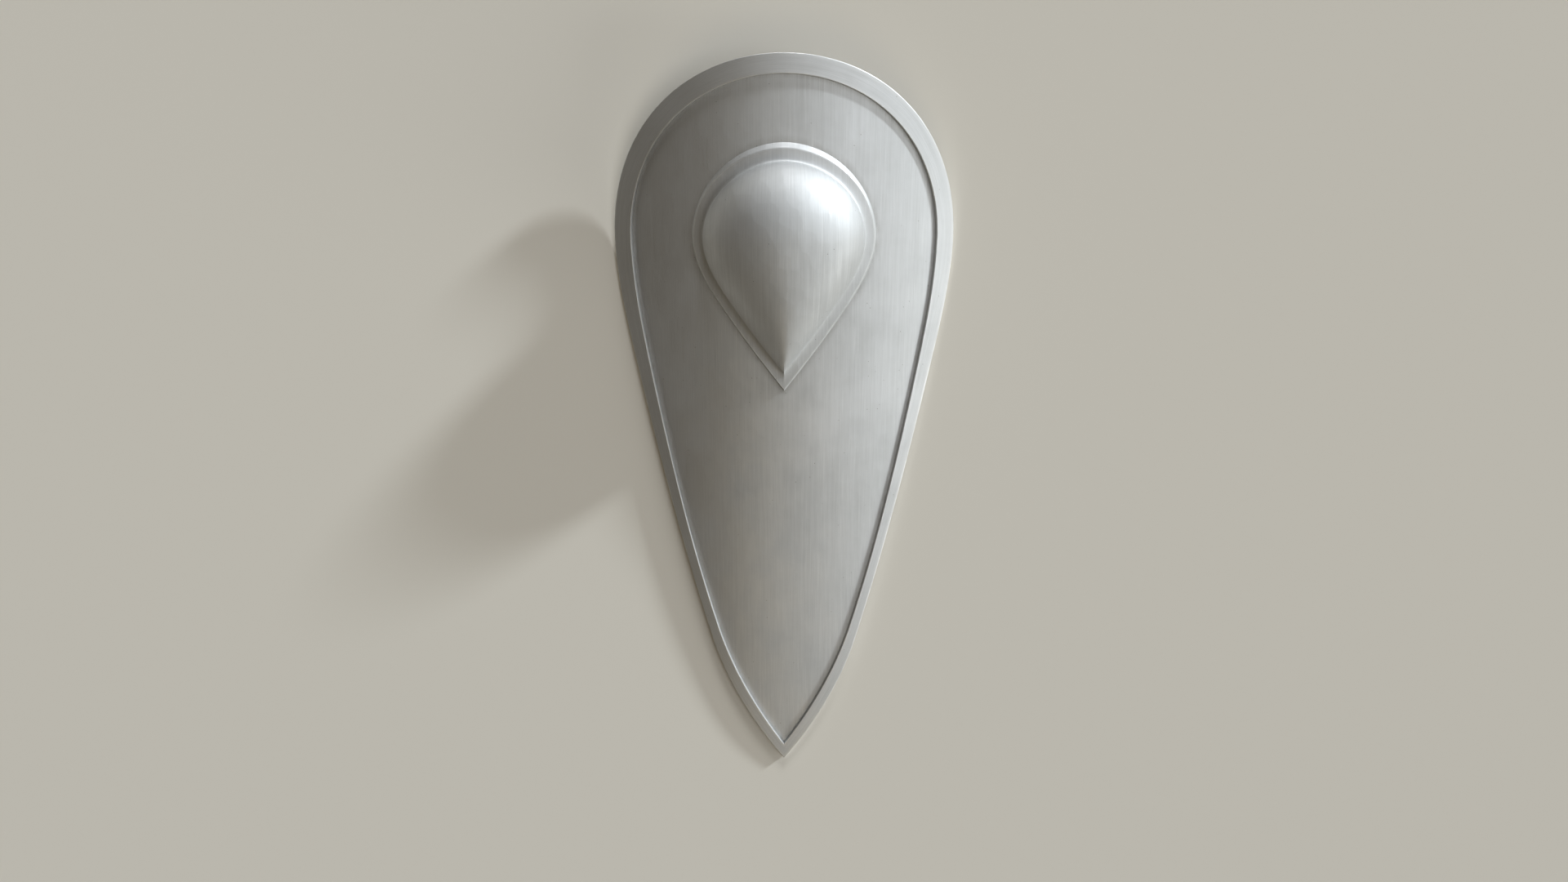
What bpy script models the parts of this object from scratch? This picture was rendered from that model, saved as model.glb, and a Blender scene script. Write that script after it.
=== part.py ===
"""Kite shield of sheet steel, lying face up on its two side edges and its point.

The kite is drawn on the flat sheet, before rolling. Across is measured from the centre line,
along runs from the point up to the round top, and out stands square to the rolled face.
All lengths are in metres.
"""

from collections import namedtuple
from math import atan2, cos, pi, sin, sqrt

import bmesh
import bpy
import numpy as np
from mathutils import Matrix, Vector

# Plate and outline
LENGTH = 1.150
SHEET_WIDTH = 0.546
WIDEST_FROM_TOP = 0.264
CURVE_RADIUS = 0.500
PLATE_THICK = 0.0012

# Rim, folded round the plate's edge
RIM_TOP = 0.028
RIM_SIDE = 0.031
RIM_POINT = 0.028
RIM_RISE = 0.0055
RIM_SHEET = 0.0012
RIM_RETURN = 0.010
RIM_EDGE = 0.0010

# Boss: outer edge, bevel, flat flange and dome
BOSS_FROM_TOP = 0.122
BOSS_LENGTH = 0.3725
BOSS_WIDTH = 0.281
BOSS_WIDEST_FROM_TOP = 0.138
BOSS_FULLNESS = 1.92
BEVEL_TOP = 0.0080
BEVEL_SIDE = 0.0045
BEVEL_POINT = 0.0040
FLANGE_RISE = 0.0055
FLANGE_TOP = 0.0185
FLANGE_SIDE = 0.0168
FLANGE_POINT = 0.0273
DOME_HEIGHT = 0.078
BOSS_SHEET = 0.0015

# Straps behind the plate and their rivets
LEATHER_THICK = 0.004
ARM_STRAP_WIDTH = 0.040
HAND_STRAP_WIDTH = 0.028
ARM_LOOP_DEPTH = 0.055
HAND_LOOP_DEPTH = 0.042
TAB_PAST_RIVET = 0.012
STRAP_EDGE_TO_RIVET = 0.009
RIVET_SHANK_R = 0.0020
RIVET_HEAD_R = 0.0048
RIVET_HEAD_HEIGHT = 0.0022
RIVET_TAIL_R = 0.0045
RIVET_TAIL_HEIGHT = 0.0016
RIVET_EDGE = 0.0006

# Bend of a strap's loop, as shares of its half span: where it leaves the plate, and its shoulder
LOOP_LIFT = 0.80
LOOP_SHOULDER = 0.95

# Clearances
SEAT = 0.0003
SEAT_BEHIND = 0.0006
RIVET_FIT = 0.0004
HEAD_CLEAR = 0.004

# Fineness of the curves
ARC_STEPS = 18
TAPER_STEPS = 24
BOSS_ARC_STEPS = 14
BOSS_TAPER_STEPS = 13
PLATE_COLUMNS = 16
DOME_RINGS = 8
INNER_RINGS = 5
LOOP_STEPS = 11
RIVET_SIDES = 10
HEAD_RINGS = 3
SETTLE_PASSES = 3

# How an outline narrows below its widest place: share of the way down to the point, share of the
# half width left there, and how fast it narrows there
KITE_TAPER = ((0.0, 1.0, 0.0), (0.20, 0.898, 0.77), (0.75, 0.436, 0.96), (1.0, 0.0, 2.45))
FIELD_TAPER = ((0.0, 1.0, 0.0), (0.20, 0.913, 0.71), (0.75, 0.446, 1.08), (1.0, 0.0, 2.40))
BOSS_TAPER = ((0.0, 1.0, 0.0), (0.50, 0.622, 1.17), (1.0, 0.0, 1.31))

# Top round of the kite: 2 is an ellipse
KITE_FULLNESS = 2.0

# Each strap's distance from the dome's widest place, as a share of the way to its top or point
HAND_STRAP_UP = 0.73
ARM_STRAP_DOWN = 0.37

# Colours, and how rough each surface is
STEEL_COLOUR = (0.58, 0.58, 0.57)
STEEL_ROUGH = 0.36
LEATHER_COLOUR = (0.16, 0.085, 0.045)
LEATHER_ROUGH = 0.60

# Faces that meet at more than this keep a crisp edge
CRISP = pi / 6

Outline = namedtuple("Outline", "half top widest point fullness taper")
StrapPlace = namedtuple("StrapPlace", "along half_span rivets")


def clear_scene():
    for item in list(bpy.data.objects):
        bpy.data.objects.remove(item, do_unlink=True)


def taper_width(taper, down):
    """Share of the half width left at each `down`, on smooth curves through the taper's places."""
    share = np.zeros_like(down)
    for (start, wide, fast_a), (end, narrow, fast_b) in zip(taper, taper[1:]):
        run = end - start
        s = (down - start) / run
        curve = (
            (2 * s**3 - 3 * s**2 + 1) * wide
            - (s**3 - 2 * s**2 + s) * run * fast_a
            + (3 * s**2 - 2 * s**3) * narrow
            - (s**3 - s**2) * run * fast_b
        )
        share = np.where(down >= start, curve, share)
    return share


def half_outline(shape, arc_steps, taper_steps):
    """The right half of an outline as (across, along) rows, from the top round to the point."""
    turn = np.linspace(0.0, pi / 2, arc_steps, endpoint=False)
    power = 2.0 / shape.fullness
    arc = np.column_stack((
        shape.half * np.sin(turn) ** power,
        shape.widest + (shape.top - shape.widest) * np.cos(turn) ** power,
    ))
    down = np.linspace(0.0, 1.0, taper_steps + 1)
    taper = np.column_stack((
        shape.half * taper_width(shape.taper, down),
        shape.widest + (shape.point - shape.widest) * down,
    ))
    return np.vstack((arc, taper))


def whole_outline(shape, arc_steps, taper_steps):
    """Both halves of an outline as one clockwise loop that starts at the top."""
    right = half_outline(shape, arc_steps, taper_steps)
    left = right[-2:0:-1] * (-1.0, 1.0)
    return np.vstack((right, left))


def inset(loop, distance):
    """A clockwise loop moved in by `distance`, with its corners mitred."""
    edge = np.roll(loop, -1, axis=0) - loop
    edge /= np.linalg.norm(edge, axis=1)[:, None]
    after = np.column_stack((edge[:, 1], -edge[:, 0]))
    before = np.roll(after, 1, axis=0)
    return loop + distance * (after + before) / (1.0 + (after * before).sum(axis=1))[:, None]


def on_shield(across, along, out):
    """The place in space of a point of the sheet after rolling, `out` in front of its face."""
    turn = across / CURVE_RADIUS
    reach = CURVE_RADIUS + out
    return Vector((reach * sin(turn), along, reach * cos(turn) - CURVE_RADIUS))


def ring(loop, out):
    return [on_shield(across, along, out) for across, along in loop]


def kite_outline():
    top = LENGTH / 2
    return Outline(SHEET_WIDTH / 2, top, top - WIDEST_FROM_TOP, -top, KITE_FULLNESS, KITE_TAPER)


def field_outline():
    """The rim's inner edge, which frames the field."""
    return shrink(kite_outline(), RIM_SIDE, RIM_TOP, RIM_POINT)._replace(taper=FIELD_TAPER)


def boss_edge_outline():
    top = LENGTH / 2 - BOSS_FROM_TOP
    widest = top - BOSS_WIDEST_FROM_TOP
    return Outline(BOSS_WIDTH / 2, top, widest, top - BOSS_LENGTH, BOSS_FULLNESS, BOSS_TAPER)


def shrink(shape, side, top, point):
    return shape._replace(half=shape.half - side, top=shape.top - top, point=shape.point + point)


def flange_outline():
    return shrink(boss_edge_outline(), BEVEL_SIDE, BEVEL_TOP, BEVEL_POINT)


def dome_outline():
    return shrink(flange_outline(), FLANGE_SIDE, FLANGE_TOP, FLANGE_POINT)


def hollow_outline():
    """The dome's inner foot: its wall is as thick at the sharp point as along the sides."""
    outer = dome_outline()
    narrowing = outer.taper[-1][2] * outer.half / (outer.widest - outer.point)
    mitre = sqrt(1.0 + narrowing**2) / narrowing
    return shrink(outer, BOSS_SHEET, BOSS_SHEET, BOSS_SHEET * mitre)


def new_object(name, mesh_data, material, frame):
    mesh = bpy.data.meshes.new(name)
    mesh_data.normal_update()
    mesh_data.to_mesh(mesh)
    mesh_data.free()
    mesh.materials.append(material)
    mesh.shade_smooth()
    mesh.set_sharp_from_angle(angle=CRISP)
    item = bpy.data.objects.new(name, mesh)
    item.parent = frame
    bpy.context.collection.objects.link(item)
    return item


def skin(rings, closed):
    """A surface through rings of equal count; a ring of one point closes an end."""
    form = bmesh.new()
    rows = [[form.verts.new(place) for place in places] for places in rings]
    if closed:
        rows.append(rows[0])
    for one, two in zip(rows, rows[1:]):
        count = max(len(one), len(two))
        for i in range(count):
            j = (i + 1) % count
            if len(one) == 1:
                form.faces.new((one[0], two[j], two[i]))
            elif len(two) == 1:
                form.faces.new((one[i], one[j], two[0]))
            else:
                form.faces.new((one[i], one[j], two[j], two[i]))
    return form


def steel(name):
    return principled(name, STEEL_COLOUR, STEEL_ROUGH, 1.0)


def principled(name, colour, roughness, metallic):
    material = bpy.data.materials.new(name)
    material.use_nodes = True
    shader = material.node_tree.nodes["Principled BSDF"]
    shader.inputs["Base Color"].default_value = (*colour, 1.0)
    shader.inputs["Roughness"].default_value = roughness
    shader.inputs["Metallic"].default_value = metallic
    return material


def cut_holes(item, places, depth, frame):
    """Drills a round hole through `item` at each (across, along) of `places`."""
    radius = RIVET_SHANK_R + RIVET_FIT
    drills = bmesh.new()
    for across, along in places:
        turned = Matrix.Rotation(across / CURVE_RADIUS, 4, "Y")
        centre = Matrix.Translation(on_shield(across, along, 0.0))
        bmesh.ops.create_cone(
            drills, cap_ends=True, segments=RIVET_SIDES, radius1=radius, radius2=radius,
            depth=2 * depth, matrix=centre @ turned,
        )
    cutter = new_object(item.name + "_drill", drills, item.data.materials[0], frame)
    cutter.hide_render = True
    cutter.display_type = "WIRE"
    holes = item.modifiers.new("rivet_holes", "BOOLEAN")
    holes.operation = "DIFFERENCE"
    holes.solver = "EXACT"
    holes.object = cutter


def make_face_plate(frame, rivets):
    """The rolled sheet. Its edge stops inside the fold of the rim."""
    edge = inset(whole_outline(kite_outline(), ARC_STEPS, TAPER_STEPS), RIM_SHEET + SEAT)
    rows = edge[: ARC_STEPS + TAPER_STEPS + 1]
    form = bmesh.new()

    def face_rows(out):
        lines = []
        for across, along in rows:
            ends = along in (rows[0][1], rows[-1][1])
            spread = (0.0,) if ends else np.linspace(across, -across, PLATE_COLUMNS + 1)
            lines.append([form.verts.new(on_shield(x, along, out)) for x in spread])
        return lines

    front = face_rows(0.0)
    back = face_rows(-PLATE_THICK)
    for face, flip in ((front, False), (back, True)):
        for one, two in zip(face, face[1:]):
            for i in range(PLATE_COLUMNS):
                if len(one) == 1:
                    corners = [one[0], two[i + 1], two[i]]
                elif len(two) == 1:
                    corners = [one[i], one[i + 1], two[0]]
                else:
                    corners = [one[i], one[i + 1], two[i + 1], two[i]]
                form.faces.new(corners[::-1] if flip else corners)
    for side in (0, -1):
        for row in range(len(rows) - 1):
            corners = [front[row][side], front[row + 1][side], back[row + 1][side], back[row][side]]
            form.faces.new(corners if side == 0 else corners[::-1])
    plate = new_object("face_plate", form, steel("plate_steel"), frame)
    cut_holes(plate, rivets, LEATHER_THICK, frame)
    return plate


def make_rim(frame):
    """A band folded from sheet: raised front, step down to the field, and a return behind the plate."""
    outer = whole_outline(kite_outline(), ARC_STEPS, TAPER_STEPS)
    inner = whole_outline(field_outline(), ARC_STEPS, TAPER_STEPS)
    leg = inset(inner, -RIM_SHEET)
    wall = inset(outer, RIM_SHEET)
    turned_in = inset(outer, RIM_RETURN)
    behind = -(PLATE_THICK + SEAT_BEHIND)
    lowest = behind - RIM_SHEET
    section = [
        ring(outer, lowest + RIM_EDGE),
        ring(outer, RIM_RISE - RIM_EDGE),
        ring(inset(outer, RIM_EDGE), RIM_RISE),
        ring(inset(inner, -RIM_EDGE / 2), RIM_RISE),
        ring(inner, RIM_RISE - RIM_EDGE / 2),
        ring(inner, SEAT),
        ring(leg, SEAT),
        ring(leg, RIM_RISE - RIM_SHEET),
        ring(wall, RIM_RISE - RIM_SHEET),
        ring(wall, behind),
        ring(turned_in, behind),
        ring(turned_in, lowest),
        ring(inset(outer, RIM_EDGE), lowest),
    ]
    return new_object("rim", skin(section[::-1], closed=True), steel("rim_steel"), frame)


def dome_rings(shape, base, steps):
    """Level lines of the dome from its foot up; they lose their sharp point as they climb."""
    sharp = whole_outline(shape, BOSS_ARC_STEPS, BOSS_TAPER_STEPS)
    below = sharp[:, 1] < shape.widest
    down = (shape.widest - sharp[:, 1]) / (shape.widest - shape.point)
    egg = sharp.copy()
    egg[below, 0] = np.sign(sharp[below, 0]) * shape.half * np.sqrt(1.0 - np.minimum(down[below], 1.0) ** 2)
    centre = np.array((0.0, shape.widest))
    rings = []
    for step in range(steps):
        climb = step / steps * pi / 2
        share = cos(climb)
        level = centre + share * (share * (sharp - centre) + (1.0 - share) * (egg - centre))
        rings.append(ring(level, base + DOME_HEIGHT * sin(climb)))
    rings.append([on_shield(0.0, shape.widest, base + DOME_HEIGHT)])
    return rings


def make_boss(frame):
    """A hollow pointed dome raised from one sheet, its flange turned down to the field."""
    edge = whole_outline(boss_edge_outline(), BOSS_ARC_STEPS, BOSS_TAPER_STEPS)
    flange = whole_outline(flange_outline(), BOSS_ARC_STEPS, BOSS_TAPER_STEPS)
    turned = BOSS_SHEET * sqrt(2.0)
    under = FLANGE_RISE - BOSS_SHEET
    outside = [ring(edge, SEAT), ring(flange, FLANGE_RISE)]
    outside += dome_rings(dome_outline(), FLANGE_RISE, DOME_RINGS)
    inside = [ring(inset(edge, turned), SEAT), ring(inset(flange, turned), under)]
    inside += dome_rings(hollow_outline(), under, INNER_RINGS)
    return new_object("boss", skin(outside[::-1] + inside, closed=False), steel("boss_steel"), frame)


def strap_place(along, width):
    """Where a strap sits: its four rivets keep their heads inside the foot of the hollow dome."""
    spread = width / 2 - STRAP_EDGE_TO_RIVET
    line = half_outline(hollow_outline(), BOSS_ARC_STEPS, BOSS_TAPER_STEPS)[::-1]
    edges = (along - spread - RIVET_HEAD_R, along + spread + RIVET_HEAD_R)
    room = min(np.interp(edges, line[:, 1], line[:, 0]))
    half_span = room - RIVET_HEAD_R - HEAD_CLEAR
    rivets = [(side * half_span, along + offset) for side in (-1, 1) for offset in (-spread, spread)]
    return StrapPlace(along, half_span, rivets)


def loop_path(half_span, depth):
    """The strap's side next to the arm, from one tab to the other, as (across, depth) rows."""
    start = np.array((-half_span, 0.0))
    lift = np.array((-half_span * LOOP_LIFT, 0.0))
    shoulder = np.array((-half_span * LOOP_SHOULDER, depth))
    crown = np.array((0.0, depth))
    s = np.linspace(0.0, 1.0, LOOP_STEPS)[:, None]
    rise = (1 - s) ** 3 * start + 3 * (1 - s) ** 2 * s * lift + 3 * (1 - s) * s**2 * shoulder + s**3 * crown
    fall = rise[-2::-1] * (-1.0, 1.0)
    return np.vstack((rise, fall))


def make_strap(name, place, width, depth, leather, frame):
    """A leather loop across the back of the plate, between two tabs that follow its roll."""
    tab = np.array(((-place.half_span - TAB_PAST_RIVET, 0.0),))
    free = loop_path(place.half_span - TAB_PAST_RIVET, depth)
    near = np.vstack((tab, free, -tab))
    run = np.gradient(near, axis=0)
    run /= np.linalg.norm(run, axis=1)[:, None]
    run[0] = run[-1] = (1.0, 0.0)
    away = near + LEATHER_THICK * np.column_stack((-run[:, 1], run[:, 0]))
    seat = -(PLATE_THICK + SEAT_BEHIND)
    low, high = place.along - width / 2, place.along + width / 2
    rings = []
    for (across_near, depth_near), (across_away, depth_away) in zip(near, away):
        rings.append([
            on_shield(across_near, high, seat - depth_near),
            on_shield(across_near, low, seat - depth_near),
            on_shield(across_away, low, seat - depth_away),
            on_shield(across_away, high, seat - depth_away),
        ])
    form = skin(rings, closed=False)
    form.verts.ensure_lookup_table()
    count = len(rings[0])
    form.faces.new(form.verts[:count][::-1])
    form.faces.new(form.verts[-count:])
    strap = new_object(name, form, leather, frame)
    cut_holes(strap, place.rivets, 4 * LEATHER_THICK, frame)
    return strap


def make_rivet(name, across, along, frame, material):
    """One rivet, turned about its own axis: domed head in front, shank, spread tail behind."""
    tail = -(PLATE_THICK + SEAT_BEHIND + LEATHER_THICK + SEAT)
    climb = [pi / 2 * (1.0 - step / HEAD_RINGS) for step in range(1, HEAD_RINGS + 1)]
    profile = [(RIVET_HEAD_R * cos(a), SEAT + RIVET_HEAD_HEIGHT * sin(a)) for a in climb]
    profile += [
        (RIVET_SHANK_R, SEAT),
        (RIVET_SHANK_R, tail),
        (RIVET_TAIL_R, tail),
        (RIVET_TAIL_R, tail - RIVET_EDGE),
        (RIVET_SHANK_R, tail - RIVET_TAIL_HEIGHT),
    ]
    turns = [2 * pi * i / RIVET_SIDES for i in range(RIVET_SIDES)]
    rings = [[Vector((0.0, 0.0, SEAT + RIVET_HEAD_HEIGHT))]]
    rings += [[Vector((r * cos(a), r * sin(a), z)) for a in turns] for r, z in profile]
    rings.append([Vector((0.0, 0.0, tail - RIVET_TAIL_HEIGHT))])
    rivet = new_object(name, skin(rings[::-1], closed=False), material, frame)
    rivet.location = on_shield(across, along, 0.0)
    rivet.rotation_euler = (0.0, across / CURVE_RADIUS, 0.0)
    return rivet


def lay_down(frame, items):
    """Tips the shield until its point and both side edges meet the ground, and centres it there."""
    corners = [corner.co for item in items for corner in item.data.vertices]
    lower, upper = [c for c in corners if c.y < 0.0], [c for c in corners if c.y > 0.0]
    heel = min(lower, key=lambda c: c.y)
    for _ in range(SETTLE_PASSES):
        tilt = max(atan2(heel.z - c.z, c.y - heel.y) for c in upper)
        heel = min(lower, key=lambda c: c.y * sin(tilt) + c.z * cos(tilt))
    frame.rotation_euler = (tilt, 0.0, 0.0)
    turned = [Matrix.Rotation(tilt, 3, "X") @ c for c in corners]
    frame.location = (
        0.0,
        -(min(c.y for c in turned) + max(c.y for c in turned)) / 2,
        -min(c.z for c in turned),
    )


def build():
    clear_scene()
    frame = bpy.data.objects.new("shield_frame", None)
    bpy.context.collection.objects.link(frame)
    dome = dome_outline()
    arm_place = strap_place(dome.widest - ARM_STRAP_DOWN * (dome.widest - dome.point), ARM_STRAP_WIDTH)
    hand_place = strap_place(dome.widest + HAND_STRAP_UP * (dome.top - dome.widest), HAND_STRAP_WIDTH)
    rivets = arm_place.rivets + hand_place.rivets
    make_face_plate(frame, rivets)
    rim = make_rim(frame)
    make_boss(frame)
    leather = principled("strap_leather", LEATHER_COLOUR, LEATHER_ROUGH, 0.0)
    arm = make_strap("arm_strap", arm_place, ARM_STRAP_WIDTH, ARM_LOOP_DEPTH, leather, frame)
    hand = make_strap("hand_strap", hand_place, HAND_STRAP_WIDTH, HAND_LOOP_DEPTH, leather, frame)
    rivet_steel = steel("rivet_steel")
    for number, (across, along) in enumerate(rivets, start=1):
        make_rivet(f"strap_rivet_{number}", across, along, frame, rivet_steel)
    lay_down(frame, (rim, arm, hand))


build()
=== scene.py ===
# %% [markdown]
# # A kite shield of satin steel, lying face up
#
# A kite shield is a long shield with a round top and a pointed foot. This one is made like sheet
# armour: a plate rolled about its long axis, a band folded round its edge, and a pointed teardrop
# boss raised from one sheet. Two leather loops behind the plate take the forearm and the hand.
#
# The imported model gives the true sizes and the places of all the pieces. Every piece here stands
# exactly where its solid stands, and adds what a solid leaves out: even curves, rounded edges,
# the finish of the metal, and the leather with its stitches.

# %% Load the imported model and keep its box
from collections import namedtuple
from math import asin, atan2, cos, degrees, pi, radians, sin, sqrt, tan

import bmesh
import bpy
import numpy as np
from mathutils import Matrix, Vector


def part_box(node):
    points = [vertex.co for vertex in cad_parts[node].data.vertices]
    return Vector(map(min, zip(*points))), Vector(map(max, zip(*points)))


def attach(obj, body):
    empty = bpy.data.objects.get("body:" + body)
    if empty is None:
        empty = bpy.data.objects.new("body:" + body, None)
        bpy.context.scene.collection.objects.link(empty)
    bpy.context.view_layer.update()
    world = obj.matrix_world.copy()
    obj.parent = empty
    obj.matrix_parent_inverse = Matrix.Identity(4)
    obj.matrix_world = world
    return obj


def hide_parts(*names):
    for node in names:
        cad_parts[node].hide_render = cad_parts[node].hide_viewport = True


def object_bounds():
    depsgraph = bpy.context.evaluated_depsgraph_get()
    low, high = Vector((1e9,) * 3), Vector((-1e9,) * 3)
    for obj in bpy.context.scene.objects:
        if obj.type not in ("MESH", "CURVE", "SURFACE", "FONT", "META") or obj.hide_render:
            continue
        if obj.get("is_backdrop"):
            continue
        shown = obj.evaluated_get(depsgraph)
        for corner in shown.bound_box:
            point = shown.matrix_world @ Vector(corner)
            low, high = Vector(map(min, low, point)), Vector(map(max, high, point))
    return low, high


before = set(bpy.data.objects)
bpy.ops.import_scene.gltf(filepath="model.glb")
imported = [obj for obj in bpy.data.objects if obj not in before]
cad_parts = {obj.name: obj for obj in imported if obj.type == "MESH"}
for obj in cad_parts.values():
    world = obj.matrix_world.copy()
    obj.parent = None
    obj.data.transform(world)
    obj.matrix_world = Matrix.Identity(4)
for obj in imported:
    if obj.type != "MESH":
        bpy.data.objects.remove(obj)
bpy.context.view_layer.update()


def in_mm(length, digits=1):
    return round(1000 * length, digits)


# %% [markdown]
# ## The drawing on the flat sheet
#
# An armourer draws the kite on a flat sheet, cuts it out and then rolls it. The script does the
# same. Each outline is half an ellipse above its widest place and a smooth taper below it, and
# three numbers place each point: across the sheet, along it, and out from its face. Bending
# comes last, in one function, so every piece follows the same roll.

# %% Sizes of the sheet, the rim and the boss, in metres
LENGTH = 1.150
SHEET_WIDTH = 0.546
WIDEST_FROM_TOP = 0.264
CURVE_RADIUS = 0.500
PLATE_THICK = 0.0012

RIM_TOP = 0.028
RIM_SIDE = 0.031
RIM_POINT = 0.028
RIM_RISE = 0.0055
RIM_SHEET = 0.0012
RIM_RETURN = 0.010
RIM_EDGE = 0.0010

BOSS_FROM_TOP = 0.122
BOSS_LENGTH = 0.3725
BOSS_WIDTH = 0.281
BOSS_WIDEST_FROM_TOP = 0.138
BOSS_FULLNESS = 1.92
BEVEL_TOP = 0.0080
BEVEL_SIDE = 0.0045
BEVEL_POINT = 0.0040
FLANGE_RISE = 0.0055
FLANGE_TOP = 0.0185
FLANGE_SIDE = 0.0168
FLANGE_POINT = 0.0273
DOME_HEIGHT = 0.078
BOSS_SHEET = 0.0015

SEAT = 0.0003
SEAT_BEHIND = 0.0006

KITE_FULLNESS = 2.0
# A taper's rows: share of the way down, share of the half width left, how fast it narrows there
KITE_TAPER = ((0.0, 1.0, 0.0), (0.20, 0.898, 0.77), (0.75, 0.436, 0.96), (1.0, 0.0, 2.45))
FIELD_TAPER = ((0.0, 1.0, 0.0), (0.20, 0.913, 0.71), (0.75, 0.446, 1.08), (1.0, 0.0, 2.40))
BOSS_TAPER = ((0.0, 1.0, 0.0), (0.50, 0.622, 1.17), (1.0, 0.0, 1.31))

Outline = namedtuple("Outline", "half top widest point fullness taper")
print("sheet in mm before rolling:", in_mm(SHEET_WIDTH), "by", in_mm(LENGTH))


# %% Draw an outline
def taper_width(taper, down):
    """Share of the half width left at each `down`, on smooth curves through the taper's places."""
    share = np.zeros_like(down)
    for (start, wide, fast_a), (end, narrow, fast_b) in zip(taper, taper[1:]):
        run = end - start
        s = (down - start) / run
        curve = (
            (2 * s**3 - 3 * s**2 + 1) * wide
            - (s**3 - 2 * s**2 + s) * run * fast_a
            + (3 * s**2 - 2 * s**3) * narrow
            - (s**3 - s**2) * run * fast_b
        )
        share = np.where(down >= start, curve, share)
    return share


def half_outline(shape, arc_steps, taper_steps):
    """The right half of an outline as (across, along) rows, from the top round to the point."""
    turn = np.linspace(0.0, pi / 2, arc_steps, endpoint=False)
    power = 2.0 / shape.fullness
    arc = np.column_stack((
        shape.half * np.sin(turn) ** power,
        shape.widest + (shape.top - shape.widest) * np.cos(turn) ** power,
    ))
    down = np.linspace(0.0, 1.0, taper_steps + 1)
    taper = np.column_stack((
        shape.half * taper_width(shape.taper, down),
        shape.widest + (shape.point - shape.widest) * down,
    ))
    return np.vstack((arc, taper))


def shrink(shape, side, top, point):
    return shape._replace(half=shape.half - side, top=shape.top - top, point=shape.point + point)


top = LENGTH / 2
kite = Outline(SHEET_WIDTH / 2, top, top - WIDEST_FROM_TOP, top - LENGTH, KITE_FULLNESS, KITE_TAPER)
field = shrink(kite, RIM_SIDE, RIM_TOP, RIM_POINT)._replace(taper=FIELD_TAPER)
boss_top = top - BOSS_FROM_TOP
boss_widest, boss_point = boss_top - BOSS_WIDEST_FROM_TOP, boss_top - BOSS_LENGTH
boss_edge = Outline(BOSS_WIDTH / 2, boss_top, boss_widest, boss_point, BOSS_FULLNESS, BOSS_TAPER)
flange = shrink(boss_edge, BEVEL_SIDE, BEVEL_TOP, BEVEL_POINT)
dome = shrink(flange, FLANGE_SIDE, FLANGE_TOP, FLANGE_POINT)
print("dome's foot in mm:", in_mm(2 * dome.half), "by", in_mm(dome.top - dome.point))

# %% [markdown]
# ## Loops that run side by side
#
# The rim and the flange are bands between two loops, and each rounded edge is a fan of loops a
# fraction of a millimetre apart. A loop moved in from a pointed outline would cross itself at
# the point, so the moved half is cut where it meets the centre line, or drawn out to it. All
# loops then get the same count of places, shared out from the top to the widest place and from
# there to the point, so that any two of them can be joined by neat faces.

# %% Move an outline in or out, with even places
ARC_PLACES = 90
TAPER_PLACES = 150
FINE_ARC = 500
FINE_TAPER = 900


def reach_along(line):
    """How far along a polyline each of its places is."""
    return np.concatenate(([0.0], np.cumsum(np.linalg.norm(np.diff(line, axis=0), axis=1))))


def evenly(line, count):
    """`count` + 1 places at equal distances along a polyline."""
    reach = reach_along(line)
    want = np.linspace(0.0, reach[-1], count + 1)
    return np.column_stack([np.interp(want, reach, line[:, axis]) for axis in range(line.shape[1])])


def moved_half(shape, inward):
    """The right half of an outline moved in by `inward`, from the top to the centre line below."""
    line = half_outline(shape, FINE_ARC, FINE_TAPER)
    run = np.gradient(line, axis=0)
    run /= np.linalg.norm(run, axis=1)[:, None]
    run[0] = (1.0, 0.0)
    line = line + inward * np.column_stack((run[:, 1], -run[:, 0]))
    widest = int(np.argmax(line[:, 0]))
    crossed = np.nonzero(line[widest:, 0] <= 0.0)[0]
    if len(crossed):
        line = line[: widest + crossed[0] + 1]
    before, last = line[-2], line[-1]
    share = before[0] / (before[0] - last[0])
    line[-1] = before + share * (last - before)
    arc = evenly(line[: widest + 1], ARC_PLACES)
    taper = evenly(line[widest:], TAPER_PLACES)
    return np.vstack((arc[:-1], taper))


def loop(shape, inward=0.0):
    """A whole clockwise loop of (across, along) rows that starts at the top."""
    right = moved_half(shape, inward)
    right[0, 0] = right[-1, 0] = 0.0
    return np.vstack((right, right[-2:0:-1] * (-1.0, 1.0)))


def blend(one, two, share):
    return (1.0 - share) * one + share * two


print("places in a loop:", len(loop(kite)))


# %% [markdown]
# ## The way it lies
#
# A rolled plate can't lie flat on its hollow side. It rests on three places: the point, and one
# place on each side edge. The tilt follows from the coarse solids' own corners, so the same rule
# is worked out again here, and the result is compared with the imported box.

# %% Roll the sheet and lay it down
CAD_ARC_STEPS = 18
CAD_TAPER_STEPS = 24
SETTLE_PASSES = 3


def on_shield(across, along, out):
    """The place of a point of the sheet after rolling, `out` in front of its face."""
    turn = across / CURVE_RADIUS
    reach = CURVE_RADIUS + out
    return Vector((reach * sin(turn), along, reach * cos(turn) - CURVE_RADIUS))


def coarse_ring(inward, out):
    """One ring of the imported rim, on its own coarse polygon."""
    right = half_outline(kite, CAD_ARC_STEPS, CAD_TAPER_STEPS)
    line = np.vstack((right, right[-2:0:-1] * (-1.0, 1.0)))
    edge = np.roll(line, -1, axis=0) - line
    edge /= np.linalg.norm(edge, axis=1)[:, None]
    after = np.column_stack((edge[:, 1], -edge[:, 0]))
    before = np.roll(after, 1, axis=0)
    line = line + inward * (after + before) / (1.0 + (after * before).sum(axis=1))[:, None]
    return [on_shield(across, along, out) for across, along in line]


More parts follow.
